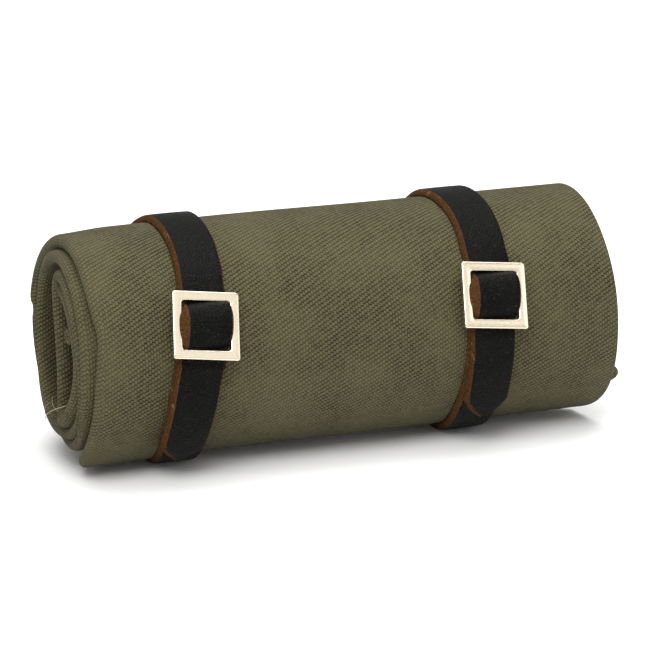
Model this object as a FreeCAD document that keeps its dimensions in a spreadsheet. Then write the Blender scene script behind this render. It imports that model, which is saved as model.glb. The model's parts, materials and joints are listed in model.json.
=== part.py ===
"""Rolled canvas carving tool roll, held shut by two leather straps with square slide buckles.

The roll's axis runs along X, the buckles face -Y and +Z is up.  Everything is first built about
the roll's axis, and the whole is then stood on the floor with its box centred on the origin.
Angles round the roll are measured in degrees from the front (-Y), upwards over the top.
"""
import math
import os

import FreeCAD
import Part
import Sketcher

SIZES = {
    # canvas
    "roll_length": 171.0,
    "roll_radius": 36.25,
    "cloth_thickness": 1.8,
    "lining_thickness": 1.0,
    "lining_gap": 0.15,
    "wrap_pitch": 4.3,
    "wrap_turns": 3.27,
    "wrap_start_angle": -84.0,
    "core_squeeze": 22.0,
    "pocket_depth": 95.0,
    "pocket_rim_reach": 3.0,
    "pocket_width": 27.0,
    "flap_depth": 60.0,
    "thread_diameter": 0.4,
    "thread_gap": 0.02,
    "hem_depth": 7.0,
    "stitch_length": 3.4,
    "stitch_pitch": 4.5,
    # straps
    "strap_width": 15.0,
    "strap_thickness": 2.25,
    "strap_gap": 0.05,
    "tail_thickness": 2.1,
    "tail_gap": 0.4,
    "under_rim_drop": 0.65,
    "tail_point_length": 8.0,
    "left_strap_x": -51.2,
    "right_strap_x": 42.9,
    "left_strap_drift": -1.5,
    "right_strap_drift": -0.4,
    "left_tail_drift": -3.5,
    "right_tail_drift": -1.1,
    "left_tail_length": 36.5,
    "right_tail_length": 31.0,
    "rest_flat_depth": 1.25,
    "fold_stitch_drop": 2.5,
    "fold_thread_diameter": 0.3,
    # buckles
    "buckle_angle": 19.6,
    "buckle_side": 21.0,
    "buckle_thickness": 1.8,
    "window_clearance": 0.1,
    "window_height": 15.2,
    "buckle_tilt": 7.0,
    "left_buckle_yaw": -7.7,
    "right_buckle_yaw": -6.5,
    "bar_radius": 0.88,
    "bar_running_gap": 0.05,
    "bar_standoff": 1.65,
    "outer_corner_radius": 0.9,
    "inner_corner_radius": 1.0,
    "knuckle_gap": 0.35,
    "knuckle_past_buckle": 2.7,
    # rivets
    "anchor_angle": 150.0,
    "shank_radius": 1.2,
    "shank_clearance": 0.1,
    "cap_radius": 4.5,
    "cap_height": 1.2,
    "flange_radius": 4.0,
    "flange_thickness": 0.8,
    "flange_seat_gap": 0.35,
}

doc = FreeCAD.newDocument("tool_roll")
sheet = doc.addObject("Spreadsheet::Sheet", "Sizes")
for row, (alias, number) in enumerate(SIZES.items(), start=1):
    sheet.set("A%d" % row, alias)
    sheet.set("B%d" % row, str(number))
    sheet.setAlias("B%d" % row, alias)
doc.recompute()


def size(alias):
    """The sheet's present value of one driving dimension."""
    return float(sheet.get(alias))


X_AXIS = FreeCAD.Vector(1, 0, 0)
OUTWARD = FreeCAD.Vector(0, -1, 0)
SIDES = ("left", "right")
STEP_START = 0.8          # share of a turn after which a layer steps in under the one outside it
SQUEEZE_TURNS = 2.7       # turns after which the cloth is drawn in by the whole core squeeze
LINING_START = 1.15       # turns from the cloth's outer edge to the first pocket
LINING_END_INSET = 0.04   # turns left bare at the cloth's inner end
SEAM_INSET = 0.1          # turns from a lining's end to its first line of stitches
POINTS_PER_TURN = 36
UNDER_RIM_START = 3.0     # degrees below the bar at which the under-rim piece begins
HUMP_FOOT_DROP = 0.9      # how far the hump over the bar runs on into the strap below it
CAP_EDGE_SHARE = 0.4      # height of a rivet cap's upright edge, as a share of the cap
CAP_TOP_SHARE = 0.6       # radius of a rivet cap's flat top, as a share of the cap

panel_mid_radius = size("roll_radius") - size("cloth_thickness") / 2
strap_inner = size("roll_radius") + size("strap_gap")
strap_outer = strap_inner + size("strap_thickness")
bar_height = strap_outer + size("bar_standoff")
tail_inner = strap_outer + size("tail_gap")
tail_outer = tail_inner + size("tail_thickness")
tail_mid = (tail_inner + tail_outer) / 2
floor_z = -(strap_outer - size("rest_flat_depth"))
window_width = size("strap_width") + 2 * size("window_clearance")
bore_radius = size("bar_radius") + size("bar_running_gap")
knuckle_drop = size("buckle_side") / 2 + size("knuckle_past_buckle")
knuckle_angle = math.degrees(math.asin(knuckle_drop / tail_mid))


def shift(x=0.0, y=0.0, z=0.0):
    return FreeCAD.Placement(FreeCAD.Vector(x, y, z), FreeCAD.Rotation())


def turn(axis, degrees):
    return FreeCAD.Placement(FreeCAD.Vector(), FreeCAD.Rotation(axis, degrees))


def at_angle(strap_x, degrees):
    """Local frame on the roll: -Y points outwards at this angle, +Z runs up round the roll."""
    return shift(x=strap_x).multiply(turn(X_AXIS, -degrees))


def ring_x(side):
    """Where the strap's loop lies along the roll: it drifts to one side of its buckle."""
    return size(side + "_strap_x") + size(side + "_strap_drift")


def tail_x(side):
    """Where the strap's free end lies along the roll, to one side of its buckle."""
    return size(side + "_strap_x") + size(side + "_tail_drift")


def at_buckle(side):
    """Local frame of one buckle, with the buckle's own slant across the roll."""
    place = at_angle(size(side + "_strap_x"), size("buckle_angle"))
    return place.multiply(turn(OUTWARD, size(side + "_buckle_yaw")))


# ---------------------------------------------------------------- rolled canvas


def wrap_point(turns):
    """Middle line of the cloth after a number of turns from its outer edge, in the YZ plane.

    Each turn keeps its radius, then steps in by one pitch under the turn outside it.  The
    inner turns are also drawn in at the back, which leaves the narrow upright core.
    """
    whole = math.floor(turns)
    late = min(max((turns - whole - STEP_START) / (1 - STEP_START), 0.0), 1.0)
    steps = whole + late * late * (3 - 2 * late)
    radius = panel_mid_radius - size("wrap_pitch") * steps
    share = min(turns / SQUEEZE_TURNS, 1.0)
    squeeze = size("core_squeeze") * math.sin(math.pi / 2 * share) ** 6
    angle = math.radians(size("wrap_start_angle")) + 2 * math.pi * turns
    back_share = ((1 - math.cos(angle)) / 2) ** 2
    y = -radius * math.cos(angle) - squeeze * back_share
    return FreeCAD.Vector(0, y, radius * math.sin(angle))


def wrap_offset_point(turns, inward):
    """The point at this distance inwards from the cloth's middle line."""
    nudge = 0.002
    along = wrap_point(turns + nudge).sub(wrap_point(turns - nudge))
    along.normalize()
    inward_normal = X_AXIS.cross(along)
    return wrap_point(turns).add(inward_normal * -inward)


def turns_after(length):
    """Turns covered by a length of the outermost lap of cloth."""
    return length / (2 * math.pi * panel_mid_radius)


def wrapped_cloth(first_turn, last_turn, inward, thickness, x_start, x_end):
    """A strip of cloth wound along the spiral: two spline faces, two edges and two ends."""
    count = int(round((last_turn - first_turn) * POINTS_PER_TURN))
    stations = [first_turn + (last_turn - first_turn) * i / count for i in range(count + 1)]
    sides = []
    for face_offset in (inward - thickness / 2, inward + thickness / 2):
        curve = Part.BSplineCurve()
        curve.interpolate([wrap_offset_point(station, face_offset) for station in stations])
        sides.append(curve.toShape())
    caps = [Part.makeLine(side_a.Point, side_b.Point)
            for side_a, side_b in zip(sides[0].Vertexes, sides[1].Vertexes)]
    outline = Part.Wire(Part.__sortEdges__([sides[0], caps[1], sides[1], caps[0]]))
    section = Part.Face(outline)
    section.translate(FreeCAD.Vector(x_start, 0, 0))
    return section.extrude(FreeCAD.Vector(x_end - x_start, 0, 0))


def spiral_piece(label, shape):
    piece = doc.addObject("Part::Feature", label)
    piece.Shape = shape
    return piece


half_length = size("roll_length") / 2
lining_inward = size("cloth_thickness") / 2 + size("lining_gap") + size("lining_thickness") / 2
lining_first = LINING_START
lining_last = size("wrap_turns") - LINING_END_INSET

panel_cloth = spiral_piece("outer_panel_cloth", wrapped_cloth(
    0.0, size("wrap_turns"), 0.0, size("cloth_thickness"), -half_length, half_length))
pocket_panel = spiral_piece("pocket_panel", wrapped_cloth(
    lining_first, lining_last, lining_inward, size("lining_thickness"),
    -half_length - size("pocket_rim_reach"), -half_length + size("pocket_depth")))
top_flap = spiral_piece("top_flap", wrapped_cloth(
    lining_first, lining_last, lining_inward, size("lining_thickness"),
    half_length - size("flap_depth"), half_length))


def thread_run(x_start, x_end, centre, diameter):
    """A straight run of thread along X."""
    start = FreeCAD.Vector(x_start, centre.y, centre.z)
    return Part.makeCylinder(diameter / 2, x_end - x_start, start, X_AXIS)


def seam_of(name, runs):
    """One seam: a group of separate runs of thread."""
    return spiral_piece(name, Part.makeCompound(runs))


thread = size("thread_diameter")
thread_inward = lining_inward + size("lining_thickness") / 2 + thread / 2 + size("thread_gap")
pocket_stations = []
station = lining_first + SEAM_INSET
while station < lining_last - SEAM_INSET:
    pocket_stations.append(station)
    lap_radius = panel_mid_radius - size("wrap_pitch") * station
    station += size("pocket_width") / (2 * math.pi * lap_radius)
pocket_stitching = seam_of("pocket_stitching", [
    thread_run(-half_length + size("hem_depth"), -half_length + size("pocket_depth") - size("hem_depth"),
               wrap_offset_point(place, thread_inward), thread)
    for place in pocket_stations])
flap_stitching = seam_of("flap_stitching", [
    thread_run(half_length - size("flap_depth") + size("hem_depth"), half_length - size("hem_depth"),
               wrap_offset_point(place, thread_inward), thread)
    for place in (pocket_stations[0], pocket_stations[-1])])


def clear_of_straps(x_start, x_end):
    reach = size("strap_width") / 2 + size("stitch_length") / 2
    gaps = [abs((x_start + x_end) / 2 - ring_x(side)) for side in SIDES]
    return min(gaps) > reach


hem_turn = turns_after(size("hem_depth"))
hem_rise = size("cloth_thickness") / 2 + thread / 2 + size("thread_gap")
hem_centre = wrap_offset_point(hem_turn, -hem_rise)
hem_runs = []
hem_count = int((size("roll_length") - 2 * size("hem_depth")) / size("stitch_pitch"))
for number in range(hem_count):
    stitch_start = -half_length + size("hem_depth") + number * size("stitch_pitch")
    stitch_end = stitch_start + size("stitch_length")
    if clear_of_straps(stitch_start, stitch_end):
        hem_runs.append(thread_run(stitch_start, stitch_end, hem_centre, thread))
hem_stitching = seam_of("hem_stitching", hem_runs)

# ---------------------------------------------------------------- primitives bound to the sheet


def bind(target, bindings):
    for prop, expression in bindings.items():
        target.setExpression(prop, expression)


def cylinder(name, radius, height, place, angle="360"):
    """A Part cylinder whose own Z axis is laid along X, centred on the frame it is given."""
    solid = doc.addObject("Part::Cylinder", name)
    bind(solid, {"Radius": radius, "Height": height, "Angle": angle})
    doc.recompute()
    along_x = turn(FreeCAD.Vector(0, 1, 0), 90)
    centred = shift(z=-solid.Height.Value / 2)
    solid.Placement = place.multiply(along_x).multiply(centred)
    return solid


def boolean(kind, name, base, tool):
    result = doc.addObject(kind, name)
    result.Base = base
    result.Tool = tool
    return result


def fuse(name, pieces):
    result = doc.addObject("Part::MultiFuse", name)
    result.Shapes = pieces
    return result


def below(place, top_angle):
    """Frame whose cylinder sector starts at this angle of the given frame and runs downwards."""
    return place.multiply(turn(X_AXIS, -90.0 - top_angle))


STRAP_INNER = "Sizes.roll_radius + Sizes.strap_gap"
STRAP_OUTER = STRAP_INNER + " + Sizes.strap_thickness"
TAIL_INNER = STRAP_OUTER + " + Sizes.tail_gap"
TAIL_OUTER = TAIL_INNER + " + Sizes.tail_thickness"
BORE = "Sizes.bar_radius + Sizes.bar_running_gap"
SHANK_HOLE = "Sizes.shank_radius + Sizes.shank_clearance"
bridge_rise = size("bar_standoff") + bore_radius + size("strap_thickness")
bridge_half_chord = size("window_height") / 2 - size("inner_corner_radius")


def shank_hole(name, strap_x):
    """Radial hole for the anchor rivet, through the strap and the outer layer of cloth."""
    hole = doc.addObject("Part::Cylinder", name)
    bind(hole, {"Radius": SHANK_HOLE,
                "Height": "Sizes.strap_thickness + 3 * Sizes.cloth_thickness"})
    doc.recompute()
    start = panel_mid_radius - size("cloth_thickness")
    hole.Placement = at_angle(strap_x, size("anchor_angle")).multiply(
        shift(y=-start)).multiply(turn(X_AXIS, 90))
    return hole


def floor_cut(name, strap_x):
    """Everything below the floor, so that the strap rests on a flat."""
    block = doc.addObject("Part::Box", name)
    bind(block, {"Length": "2 * Sizes.strap_width",
                 "Width": "Sizes.roll_radius",
                 "Height": "Sizes.roll_radius"})
    doc.recompute()
    block.Placement = shift(strap_x - block.Length.Value / 2, -block.Width.Value / 2,
                            floor_z - block.Height.Value)
    return block


def make_strap(side):
    """Leather strip: once round the roll, then over the buckle's bar and under its lower rim."""
    strap_x = ring_x(side)
    level = shift(x=strap_x)
    slanted = at_buckle(side)
    ring = cylinder(side + "_ring", STRAP_OUTER, "Sizes.strap_width", level)
    # the hump over the bar is part of a cylinder that comes down just inside the rims
    hump_rise = bridge_rise + HUMP_FOOT_DROP
    hump_radius = (bridge_half_chord ** 2 + hump_rise ** 2) / (2 * hump_rise)
    hump_centre = strap_outer + bridge_rise - hump_radius
    hump = cylinder(side + "_hump", str(hump_radius), "Sizes.strap_width",
                    slanted.multiply(shift(y=-hump_centre)))
    slant_reach = size("strap_width") / 2 * abs(math.sin(math.radians(size(side + "_buckle_yaw"))))
    under_reach = knuckle_drop - size("tail_thickness") / 2 - size("knuckle_gap") - slant_reach
    under_angle = math.degrees(math.asin(under_reach / tail_mid)) - UNDER_RIM_START
    under = cylinder(side + "_under_rim", TAIL_OUTER + " - Sizes.under_rim_drop", "Sizes.strap_width",
                     below(slanted, -UNDER_RIM_START), str(under_angle))
    body = fuse(side + "_strap_outside", [ring, hump, under])
    hollow = cylinder(side + "_strap_inside", STRAP_INNER, "2 * Sizes.strap_width", level)
    bore = cylinder(side + "_bar_bore", BORE, "2 * Sizes.strap_width",
                    slanted.multiply(shift(y=-bar_height)))
    cuts = fuse(side + "_strap_cuts", [hollow, bore, floor_cut(side + "_floor", strap_x),
                                       shank_hole(side + "_strap_hole", strap_x)])
    return boolean("Part::Cut", side + "_strap", body, cuts)


straps = {side: make_strap(side) for side in SIDES}

# the outer layer of cloth is pierced where each strap is riveted to it
rivet_holes = fuse("cloth_holes", [
    shank_hole(side + "_cloth_hole", ring_x(side)) for side in SIDES])
outer_panel = boolean("Part::Cut", "outer_panel", panel_cloth, rivet_holes)


def make_tail(side):
    """Free end of the strap: a curved strip with a rounded root and a pointed tip."""
    strap_x = tail_x(side)
    level = shift(x=strap_x)
    length = side + "_tail_length"
    root_angle = size("buckle_angle") - knuckle_angle
    sweep = "Sizes.%s / ((%s + %s) / 2) * 180 / pi" % (length, TAIL_INNER, TAIL_OUTER)
    outside = cylinder(side + "_tail_outside", TAIL_OUTER, "Sizes.strap_width",
                       below(level, root_angle), sweep)
    knuckle = cylinder(side + "_tail_knuckle", "Sizes.tail_thickness / 2", "Sizes.strap_width",
                       at_angle(strap_x, root_angle).multiply(shift(y=-tail_mid)))
    inside = cylinder(side + "_tail_inside", TAIL_INNER, "2 * Sizes.strap_width", level)
    curved = boolean("Part::Cut", side + "_tail_curve", outside, inside)
    tip_angle = root_angle - math.degrees(size(length) / tail_mid)
    slope = math.degrees(math.atan2(size("strap_width") / 2, size("tail_point_length")))
    corners = []
    for name, sign in (("_tip_left", -1), ("_tip_right", 1)):
        block = doc.addObject("Part::Box", side + name)
        bind(block, {"Length": "2 * Sizes.tail_point_length",
                     "Width": "4 * Sizes.tail_thickness",
                     "Height": "4 * Sizes.tail_point_length"})
        doc.recompute()
        start = shift(x=0 if sign > 0 else -block.Length.Value, y=-block.Width.Value / 2,
                      z=-block.Height.Value / 2)
        block.Placement = at_angle(strap_x, tip_angle).multiply(shift(y=-tail_mid)).multiply(
            turn(FreeCAD.Vector(0, 1, 0), sign * slope)).multiply(start)
        corners.append(block)
    strip = fuse(side + "_tail_strip", [curved, knuckle])
    return boolean("Part::Cut", side + "_strap_tail", strip, fuse(side + "_tip_corners", corners))


tails = {side: make_tail(side) for side in SIDES}

# ---------------------------------------------------------------- buckles and rivets


def origin_plane(body, role):
    return [plane for plane in body.Origin.OriginFeatures if plane.Role == role][0]


def new_sketch(body, name, role):
    sketch = body.newObject("Sketcher::SketchObject", name)
    sketch.AttachmentSupport = [(origin_plane(body, role), "")]
    sketch.MapMode = "FlatFace"
    return sketch


def centred_rectangle(sketch, width, height, width_rule, height_rule):
    """A rectangle held symmetric about the sketch's origin, with bound width and height."""
    corners = [FreeCAD.Vector(x * width / 2, y * height / 2, 0)
               for x, y in ((-1, -1), (1, -1), (1, 1), (-1, 1))]
    first = sketch.GeometryCount
    for number in range(4):
        sketch.addGeometry(Part.LineSegment(corners[number], corners[(number + 1) % 4]), False)
    for number in range(4):
        sketch.addConstraint(Sketcher.Constraint(
            "Coincident", first + number, 2, first + (number + 1) % 4, 1))
    for number, level in enumerate(("Horizontal", "Vertical", "Horizontal", "Vertical")):
        sketch.addConstraint(Sketcher.Constraint(level, first + number))
    sketch.addConstraint(Sketcher.Constraint("Symmetric", first, 1, first + 1, 2, -1, 1))
    wide = sketch.addConstraint(Sketcher.Constraint("DistanceX", first, 1, first, 2, width))
    high = sketch.addConstraint(Sketcher.Constraint("DistanceY", first + 1, 1, first + 1, 2, height))
    sketch.setExpression("Constraints[%d]" % wide, width_rule)
    sketch.setExpression("Constraints[%d]" % high, height_rule)


def bound_circle(sketch, radius, rule):
    circle = sketch.addGeometry(Part.Circle(FreeCAD.Vector(), FreeCAD.Vector(0, 0, 1), radius), False)
    sketch.addConstraint(Sketcher.Constraint("Coincident", circle, 3, -1, 1))
    number = sketch.addConstraint(Sketcher.Constraint("Radius", circle, radius))
    sketch.setExpression("Constraints[%d]" % number, rule)


def pad(body, name, sketch, rule, midplane):
    feature = body.newObject("PartDesign::Pad", name)
    feature.Profile = sketch
    feature.Midplane = midplane
    feature.setExpression("Length", rule)
    return feature


def round_edges(body, name, base, edges, rule):
    fillet = body.newObject("PartDesign::Fillet", name)
    fillet.Base = (base, edges)
    fillet.setExpression("Radius", rule)
    doc.recompute()
    return fillet


def corner_edges(shape, half_span):
    """Names of the straight edges along Y that stand at the corners of a square."""
    names = []
    for number, edge in enumerate(shape.Edges, start=1):
        box = edge.BoundBox
        along_y = box.XLength < 1e-6 and box.ZLength < 1e-6
        if along_y and abs(abs(box.XMin) - half_span) < 1e-6:
            names.append("Edge%d" % number)
    return names


WINDOW = "Sizes.strap_width + 2 * Sizes.window_clearance"


def make_buckle(side):
    """Square slide buckle: a flat frame with one round bar across the middle of its window."""
    body = doc.addObject("PartDesign::Body", side + "_buckle")
    outline = new_sketch(body, side + "_buckle_outline", "XZ_Plane")
    centred_rectangle(outline, size("buckle_side"), size("buckle_side"),
                      "Sizes.buckle_side", "Sizes.buckle_side")
    centred_rectangle(outline, window_width, size("window_height"), WINDOW, "Sizes.window_height")
    frame = pad(body, side + "_buckle_plate", outline, "Sizes.buckle_thickness", True)
    doc.recompute()
    outer = round_edges(body, side + "_outer_corners", frame,
                        corner_edges(frame.Shape, size("buckle_side") / 2),
                        "Sizes.outer_corner_radius")
    round_edges(body, side + "_inner_corners", outer,
                corner_edges(outer.Shape, window_width / 2), "Sizes.inner_corner_radius")
    section = new_sketch(body, side + "_bar_section", "YZ_Plane")
    bound_circle(section, size("bar_radius"), "Sizes.bar_radius")
    pad(body, side + "_bar", section, "(Sizes.buckle_side + %s) / 2" % WINDOW, True)
    body.Placement = at_buckle(side).multiply(shift(y=-bar_height)).multiply(
        turn(X_AXIS, -size("buckle_tilt")))
    return body


def turned_part(name, outline):
    """A body turned about Z from (radius, height) corners on its XZ plane."""
    body = doc.addObject("PartDesign::Body", name)
    sketch = new_sketch(body, name + "_profile", "XZ_Plane")
    points = [FreeCAD.Vector(radius, height, 0) for radius, height, _, _ in outline]
    count = len(points)
    for number in range(count):
        sketch.addGeometry(Part.LineSegment(points[number], points[(number + 1) % count]), False)
    for number in range(count):
        sketch.addConstraint(Sketcher.Constraint("Coincident", number, 2, (number + 1) % count, 1))
    for number, (radius, height, radius_rule, height_rule) in enumerate(outline):
        for level, value, rule in (("DistanceX", radius, radius_rule),
                                   ("DistanceY", height, height_rule)):
            if value == 0:
                on_axis = -2 if level == "DistanceX" else -1
                sketch.addConstraint(Sketcher.Constraint("PointOnObject", number, 1, on_axis))
            else:
                made = sketch.addConstraint(Sketcher.Constraint(level, -1, 1, number, 1, value))
                sketch.setExpression("Constraints[%d]" % made, rule)
    revolution = body.newObject("PartDesign::Revolution", name + "_turned")
    revolution.Profile = sketch
    revolution.ReferenceAxis = (sketch, ["V_Axis"])
    revolution.Angle = 360
    doc.recompute()
    return body


def outwards_at(side, radius):
    """Frame on the strap's anchor, its +Z pointing out of the roll, this far from the axis."""
    place = at_angle(ring_x(side), size("anchor_angle"))
    return place.multiply(shift(y=-radius)).multiply(turn(X_AXIS, 90))


def make_rivet(side):
    """Double cap rivet: an outer cap, and a post with its flange inside the cloth."""
    radius, height = size("cap_radius"), size("cap_height")
    cap = turned_part(side + "_rivet_cap", [
        (0, 0, "", ""),
        (radius, 0, "Sizes.cap_radius", ""),
        (radius, CAP_EDGE_SHARE * height, "Sizes.cap_radius", "%s * Sizes.cap_height" % CAP_EDGE_SHARE),
        (CAP_TOP_SHARE * radius, height, "%s * Sizes.cap_radius" % CAP_TOP_SHARE, "Sizes.cap_height"),
        (0, height, "", "Sizes.cap_height")])
    cap_seat = strap_outer + size("strap_gap")
    cap.Placement = outwards_at(side, cap_seat)
    flange_seat = size("roll_radius") - size("cloth_thickness") - size("flange_seat_gap")
    reach = cap_seat - flange_seat
    thick, shank, wide = size("flange_thickness"), size("shank_radius"), size("flange_radius")
    reach_rule = ("Sizes.strap_thickness + 2 * Sizes.strap_gap + Sizes.cloth_thickness"
                  " + Sizes.flange_seat_gap")
    post = turned_part(side + "_rivet_post", [
        (0, reach, "", reach_rule),
        (shank, reach, "Sizes.shank_radius", reach_rule),
        (shank, 0, "Sizes.shank_radius", ""),
        (wide, 0, "Sizes.flange_radius", ""),
        (wide, -thick, "Sizes.flange_radius", "-Sizes.flange_thickness"),
        (0, -thick, "", "-Sizes.flange_thickness")])
    post.Placement = outwards_at(side, flange_seat)
    return [cap, post]


def make_fold_stitching(side):
    """Stitches across the strap, under its tail, that close the fold round the buckle's bar."""
    stitch = size("fold_thread_diameter")
    drop_angle = math.degrees(size("fold_stitch_drop") / strap_outer)
    angle = size("buckle_angle") - knuckle_angle - drop_angle
    rise = strap_outer + stitch / 2 + size("thread_gap")
    centre = at_angle(0, angle).multVec(FreeCAD.Vector(0, -rise, 0))
    pitch = size("strap_width") / 5
    seam_x = (ring_x(side) + tail_x(side)) / 2
    runs = []
    for number in range(4):
        middle = seam_x + (number - 1.5) * pitch
        runs.append(thread_run(middle - 0.3 * pitch, middle + 0.3 * pitch, centre, stitch))
    return seam_of(side + "_fold_stitching", runs)


subparts = [outer_panel, pocket_panel, top_flap, pocket_stitching, flap_stitching, hem_stitching]
for side in SIDES:
    subparts += [straps[side], tails[side], make_buckle(side)]
    subparts += make_rivet(side) + [make_fold_stitching(side)]
doc.recompute()

# ---------------------------------------------------------------- stand on the floor and write

for item in doc.Objects:
    if "Invalid" in item.State or "Error" in item.State:
        raise RuntimeError("%s failed: %s" % (item.Name, item.State))

whole = FreeCAD.BoundBox()
for piece in subparts:
    whole.add(piece.Shape.optimalBoundingBox())
stand = shift(-whole.Center.x, -whole.Center.y, -whole.ZMin)
for piece in subparts:
    piece.Placement = stand.multiply(piece.Placement)
doc.recompute()

os.makedirs("parts", exist_ok=True)
for piece in subparts:
    shape = piece.Shape
    if shape.isNull() or not shape.isValid():
        raise RuntimeError("%s has no valid shape" % piece.Label)
    shape.exportStep("parts/%s.step" % piece.Label)
    box = shape.BoundBox
    print("%-22s solids %2d  volume %9.2f  x %7.2f %7.2f  y %7.2f %7.2f  z %7.2f %7.2f" % (
        piece.Label, len(shape.Solids), shape.Volume,
        box.XMin, box.XMax, box.YMin, box.YMax, box.ZMin, box.ZMax))
print("roll axis in the row frame:", stand.Base, "knuckle angle", knuckle_angle, "tail mid", tail_mid,
      "bar height", bar_height)
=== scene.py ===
"""Rolled canvas carving tool roll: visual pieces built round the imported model."""

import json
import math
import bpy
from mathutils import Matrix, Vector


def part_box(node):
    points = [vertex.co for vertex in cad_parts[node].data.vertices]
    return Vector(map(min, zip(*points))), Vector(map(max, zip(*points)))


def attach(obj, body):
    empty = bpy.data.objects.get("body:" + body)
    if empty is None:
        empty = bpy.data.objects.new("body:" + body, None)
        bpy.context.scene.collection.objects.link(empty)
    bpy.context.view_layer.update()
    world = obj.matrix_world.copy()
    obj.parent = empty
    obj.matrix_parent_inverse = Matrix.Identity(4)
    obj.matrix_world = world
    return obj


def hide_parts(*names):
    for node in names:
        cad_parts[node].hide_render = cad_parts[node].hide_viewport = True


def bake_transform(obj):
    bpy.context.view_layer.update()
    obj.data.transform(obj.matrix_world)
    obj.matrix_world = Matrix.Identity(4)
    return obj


bl_info = {
    "name": "Canvas Tool Roll",
    "version": (1, 0, 0),
    "blender": (4, 5, 0),
    "location": "View3D > Sidebar > Tool Roll",
    "description": "Builds a rolled canvas carving tool roll with leather straps and slide buckles",
    "category": "Add Mesh",
}

import bmesh
import bpy
import numpy as np
from bpy.props import FloatProperty, FloatVectorProperty, PointerProperty
from mathutils import Matrix, Vector

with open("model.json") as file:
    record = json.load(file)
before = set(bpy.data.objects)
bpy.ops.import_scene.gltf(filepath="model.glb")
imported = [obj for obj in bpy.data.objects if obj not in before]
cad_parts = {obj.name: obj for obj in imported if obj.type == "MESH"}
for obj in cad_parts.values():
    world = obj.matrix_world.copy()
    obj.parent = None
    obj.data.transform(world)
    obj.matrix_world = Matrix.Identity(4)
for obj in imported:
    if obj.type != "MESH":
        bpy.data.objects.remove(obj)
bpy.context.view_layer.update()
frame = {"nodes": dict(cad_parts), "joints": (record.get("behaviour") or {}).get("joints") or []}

MM = 0.001
BODY = "roll"
SIDES = ("left", "right")
ROLL_RADIUS = 36.25 * MM
STRAP_OUTER = 38.55 * MM    # from the roll's axis to the grain side of a strap
STRAP_BOTTOM = ROLL_RADIUS + 0.05 * MM
STRAP_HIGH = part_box("left_strap")[1]
PANEL_LOW, PANEL_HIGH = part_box("outer_panel")
AXIS_Y = STRAP_HIGH[1] - STRAP_OUTER
AXIS_Z = STRAP_HIGH[2] - STRAP_OUTER
ROLL_MIDDLE = (PANEL_LOW[0] + PANEL_HIGH[0]) / 2
JOINTS = {joint["name"]: joint for joint in frame["joints"]}

# Angles round the roll run from the front, upwards.
BUCKLE_ANGLE = math.radians(19.6)
BUCKLE_TILT = math.radians(7.0)
BUCKLE_YAW = {"left": math.radians(-7.7), "right": math.radians(-6.5)}
START_ANGLE = math.radians(-84.0)    # the cloth's outer edge
STEP_START = 0.8    # share of a turn after which the cloth steps in to its next lap
TURNS = 3.27        # end of the pockets' cloth, in turns from the outer edge
CORE_TURNS = 3.5    # inner end of the outer cloth

POCKET_START = 1.15
FLOOR_GAP = 0.35 * MM
RIM_FADE = 9 * MM
LINING = 1.0 * MM
LINING_GAP = 0.3 * MM
LINING_RIM = 1.3 * MM
HEM_DEPTH = 7 * MM
STITCHES = 35
STITCH_PITCH = 4.5 * MM
STITCH_LENGTH = 3.4 * MM

FOLD_CREST = 6.15 * MM     # how far the leather over the bar stands off the roll
FOLD_REACH = 7.9 * MM      # how far from its crest the fold is fuller
TAIL_RADIUS = 39.85 * MM
BAR_HALF = 9.3 * MM

# How far the leather's middle lies from its buckle's, in mm, by degrees round the roll.
STRAP_DRIFT = {
    "left": ([-321, -312, -295, -254, -225, -210, -180, -120, -75, -42, -25, -13, 0, 19.6],
             [1.5, 2.3, 3.0, 3.1, 0.8, -1.0, -1.7, -2.0, -3.0, -4.5, -4.4, -3.8, -2.4, -0.3]),
    "right": ([-320, -308, -293, -275, -254, -210, -180, -120, -72, -42, -23, -9, 0, 19.6],
              [0.7, 1.3, 1.5, 1.0, 0.4, -0.2, -0.3, -0.5, -1.1, -2.0, -1.4, -1.3, -0.9, -0.2]),
}
TAIL_DRIFT = {
    "left": ([-54, -35, -20, -8, 0], [-6.1, -5.4, -4.4, -3.4, -2.7]),
    "right": ([-46, -23, -10, 0], [-0.9, -1.2, -1.0, -0.7]),
}


def length_property(name, description, default):
    return FloatProperty(name=name, description=description, default=default,
                         min=0.0, unit="LENGTH", precision=5)


def colour_property(name, description, default):
    return FloatVectorProperty(name=name, description=description, default=default,
                               min=0.0, max=1.0, size=3, subtype="COLOR")


class CanvasSettings(bpy.types.PropertyGroup):
    """Sizes and colours of the rolled cloth."""
    cloth: length_property("Cloth", "Thickness of one layer of cloth", 1.8 * MM)
    rim: length_property("Left rim", "Thickness of the rounded fold at the left end", 3.8 * MM)
    hem: length_property("Right rim", "Thickness of the turned hem at the right end", 2.9 * MM)
    pitch: length_property("Lap pitch", "Distance from one lap to the next", 4.3 * MM)
    core_squeeze: length_property("Core squeeze", "How far the core is drawn in at the back", 27 * MM)
    rim_reach: length_property("Rim reach", "How far the inner laps stand out at the left", 2.6 * MM)
    corner_flare: length_property("Corner flare", "How far the loose corner stands out", 1.2 * MM)
    yarn_pitch: length_property("Yarn pitch", "Distance between yarns along the roll", 0.90 * MM)
    float_repeat: length_property("Float repeat", "Length of one twill repeat round the roll", 1.50 * MM)
    colour: colour_property("Canvas", "Colour of the crown of the yarns", (0.090, 0.080, 0.040))
    # The shade colour is painted shade in the gaps between the yarns.
    shade: colour_property("Canvas shade", "Colour between the yarns", (0.019, 0.017, 0.0075))


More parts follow.
